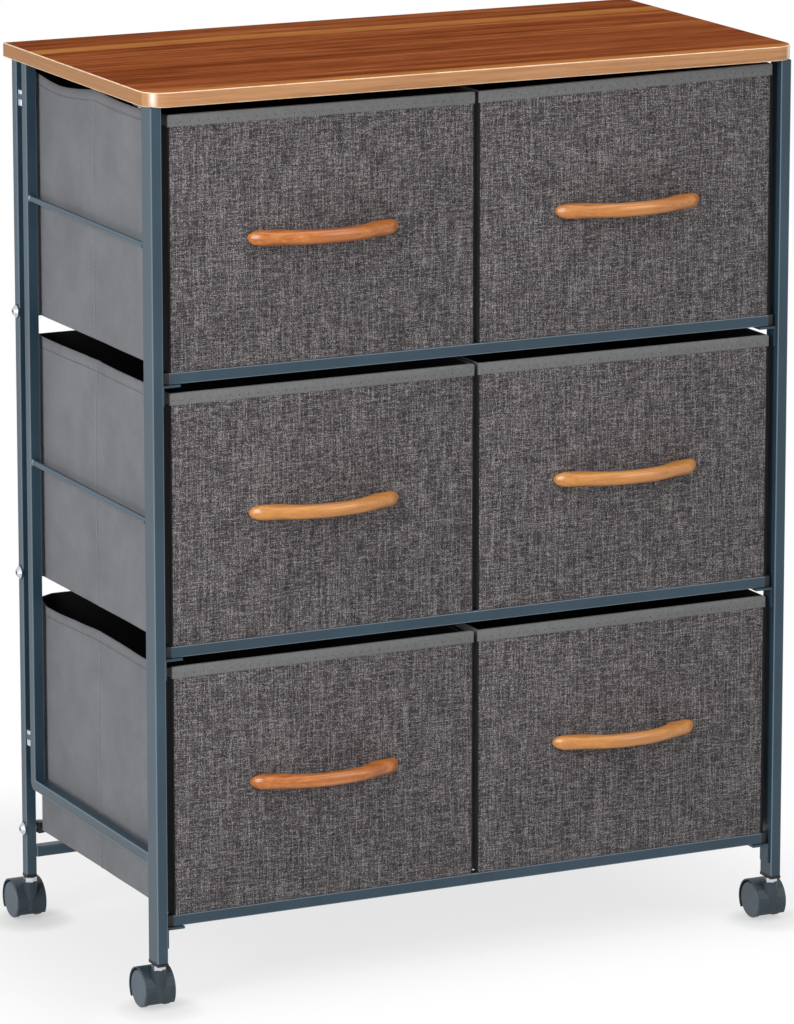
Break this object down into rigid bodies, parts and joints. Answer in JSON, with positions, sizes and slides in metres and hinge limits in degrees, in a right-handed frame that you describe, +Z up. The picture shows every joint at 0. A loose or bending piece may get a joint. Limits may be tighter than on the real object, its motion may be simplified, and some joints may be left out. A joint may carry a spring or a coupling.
{
  "type": "rolling drawer cabinet",
  "caption": "Narrow steel tube cabinet on twin-wheel castors, with sliding fabric drawers, bowed wooden handles and a wood-decor top board.",
  "frame": {"origin": "on the floor, in the middle of the cabinet's box", "axes": "+Z up, -Y to the front where the drawers open, +X to the right seen from the front"},
  "size_m": [0.6294, 0.3576, 0.8],
  "materials": {
    "board": "satin wood decor",
    "frame_paint": "satin powder coat",
    "zinc": "zinc plated",
    "fabric": "linen weave",
    "handle_wood": "satin lacquer",
    "castor_plastic": "moulded",
    "wheel_plastic": "moulded",
    "plug_plastic": "moulded"
  },
  "bodies": {
    "frame": {"top_board": "board", "rear_bar_lower": "frame_paint", "rear_bar_upper": "frame_paint", "front_leg_left": "frame_paint", "side_bow_left": "frame_paint", "rear_leg_left": "frame_paint", "side_rod_left_2": "frame_paint", "side_rod_left_3": "frame_paint", "shelf_bolt_left_1": "zinc", "shelf_bolt_left_2": "zinc", "shelf_bolt_left_3": "zinc", "hinge_bolt_left_lower": "zinc", "hinge_bolt_left_upper": "zinc", "front_leg_right": "frame_paint", "side_bow_right": "frame_paint", "rear_leg_right": "frame_paint", "side_rod_right_2": "frame_paint", "side_rod_right_3": "frame_paint", "shelf_bolt_right_1": "zinc", "shelf_bolt_right_2": "zinc", "shelf_bolt_right_3": "zinc", "hinge_bolt_right_lower": "zinc", "hinge_bolt_right_upper": "zinc", "shelf_1": "frame_paint", "shelf_2": "frame_paint", "shelf_3": "frame_paint", "leg_plug_front_left": "plug_plastic", "castor_stem_front_left": "zinc", "leg_plug_front_right": "plug_plastic", "castor_stem_front_right": "zinc", "leg_plug_rear_left": "plug_plastic", "castor_stem_rear_left": "zinc", "leg_plug_rear_right": "plug_plastic", "castor_stem_rear_right": "zinc"},
    "drawer_1_left": {"drawer_1_left": "fabric", "handle_1_left": "handle_wood"},
    "drawer_1_right": {"drawer_1_right": "fabric", "handle_1_right": "handle_wood"},
    "drawer_2_left": {"drawer_2_left": "fabric", "handle_2_left": "handle_wood"},
    "drawer_2_right": {"drawer_2_right": "fabric", "handle_2_right": "handle_wood"},
    "drawer_3_left": {"drawer_3_left": "fabric", "handle_3_left": "handle_wood"},
    "drawer_3_right": {"drawer_3_right": "fabric", "handle_3_right": "handle_wood"},
    "castor_front_left": {"castor_body_front_left": "castor_plastic"},
    "wheel_front_left_left": {"wheel_front_left_left": "wheel_plastic"},
    "wheel_front_left_right": {"wheel_front_left_right": "wheel_plastic"},
    "castor_front_right": {"castor_body_front_right": "castor_plastic"},
    "wheel_front_right_left": {"wheel_front_right_left": "wheel_plastic"},
    "wheel_front_right_right": {"wheel_front_right_right": "wheel_plastic"},
    "castor_rear_left": {"castor_body_rear_left": "castor_plastic"},
    "wheel_rear_left_left": {"wheel_rear_left_left": "wheel_plastic"},
    "wheel_rear_left_right": {"wheel_rear_left_right": "wheel_plastic"},
    "castor_rear_right": {"castor_body_rear_right": "castor_plastic"},
    "wheel_rear_right_left": {"wheel_rear_right_left": "wheel_plastic"},
    "wheel_rear_right_right": {"wheel_rear_right_right": "wheel_plastic"}
  },
  "joints": [
    {"name": "drawer_1_left_slide", "type": "slide", "parent": "frame", "child": "drawer_1_left", "axis": [0, -1, 0], "range_m": [0, 0.2]},
    {"name": "drawer_1_right_slide", "type": "slide", "parent": "frame", "child": "drawer_1_right", "axis": [0, -1, 0], "range_m": [0, 0.2]},
    {"name": "drawer_2_left_slide", "type": "slide", "parent": "frame", "child": "drawer_2_left", "axis": [0, -1, 0], "range_m": [0, 0.2]},
    {"name": "drawer_2_right_slide", "type": "slide", "parent": "frame", "child": "drawer_2_right", "axis": [0, -1, 0], "range_m": [0, 0.2]},
    {"name": "drawer_3_left_slide", "type": "slide", "parent": "frame", "child": "drawer_3_left", "axis": [0, -1, 0], "range_m": [0, 0.2]},
    {"name": "drawer_3_right_slide", "type": "slide", "parent": "frame", "child": "drawer_3_right", "axis": [0, -1, 0], "range_m": [0, 0.2]},
    {"name": "castor_front_left_swivel", "type": "hinge", "parent": "frame", "child": "castor_front_left", "pos_m": [-0.301, -0.1458, 0.0359], "axis": [0, 0, 1], "continuous": true},
    {"name": "wheel_front_left_left_spin", "type": "hinge", "parent": "castor_front_left", "child": "wheel_front_left_left", "pos_m": [-0.301, -0.132, 0.0166], "axis": [1, 0, 0], "continuous": true},
    {"name": "wheel_front_left_right_spin", "type": "hinge", "parent": "castor_front_left", "child": "wheel_front_left_right", "pos_m": [-0.301, -0.132, 0.0166], "axis": [1, 0, 0], "continuous": true},
    {"name": "castor_front_right_swivel", "type": "hinge", "parent": "frame", "child": "castor_front_right", "pos_m": [0.301, -0.1458, 0.0359], "axis": [0, 0, 1], "continuous": true},
    {"name": "wheel_front_right_left_spin", "type": "hinge", "parent": "castor_front_right", "child": "wheel_front_right_left", "pos_m": [0.301, -0.132, 0.0166], "axis": [1, 0, 0], "continuous": true},
    {"name": "wheel_front_right_right_spin", "type": "hinge", "parent": "castor_front_right", "child": "wheel_front_right_right", "pos_m": [0.301, -0.132, 0.0166], "axis": [1, 0, 0], "continuous": true},
    {"name": "castor_rear_left_swivel", "type": "hinge", "parent": "frame", "child": "castor_rear_left", "pos_m": [-0.301, 0.1457, 0.0359], "axis": [0, 0, 1], "continuous": true},
    {"name": "wheel_rear_left_left_spin", "type": "hinge", "parent": "castor_rear_left", "child": "wheel_rear_left_left", "pos_m": [-0.301, 0.1595, 0.0166], "axis": [1, 0, 0], "continuous": true},
    {"name": "wheel_rear_left_right_spin", "type": "hinge", "parent": "castor_rear_left", "child": "wheel_rear_left_right", "pos_m": [-0.301, 0.1595, 0.0166], "axis": [1, 0, 0], "continuous": true},
    {"name": "castor_rear_right_swivel", "type": "hinge", "parent": "frame", "child": "castor_rear_right", "pos_m": [0.301, 0.1457, 0.0359], "axis": [0, 0, 1], "continuous": true},
    {"name": "wheel_rear_right_left_spin", "type": "hinge", "parent": "castor_rear_right", "child": "wheel_rear_right_left", "pos_m": [0.301, 0.1595, 0.0166], "axis": [1, 0, 0], "continuous": true},
    {"name": "wheel_rear_right_right_spin", "type": "hinge", "parent": "castor_rear_right", "child": "wheel_rear_right_right", "pos_m": [0.301, 0.1595, 0.0166], "axis": [1, 0, 0], "continuous": true}
  ]
}
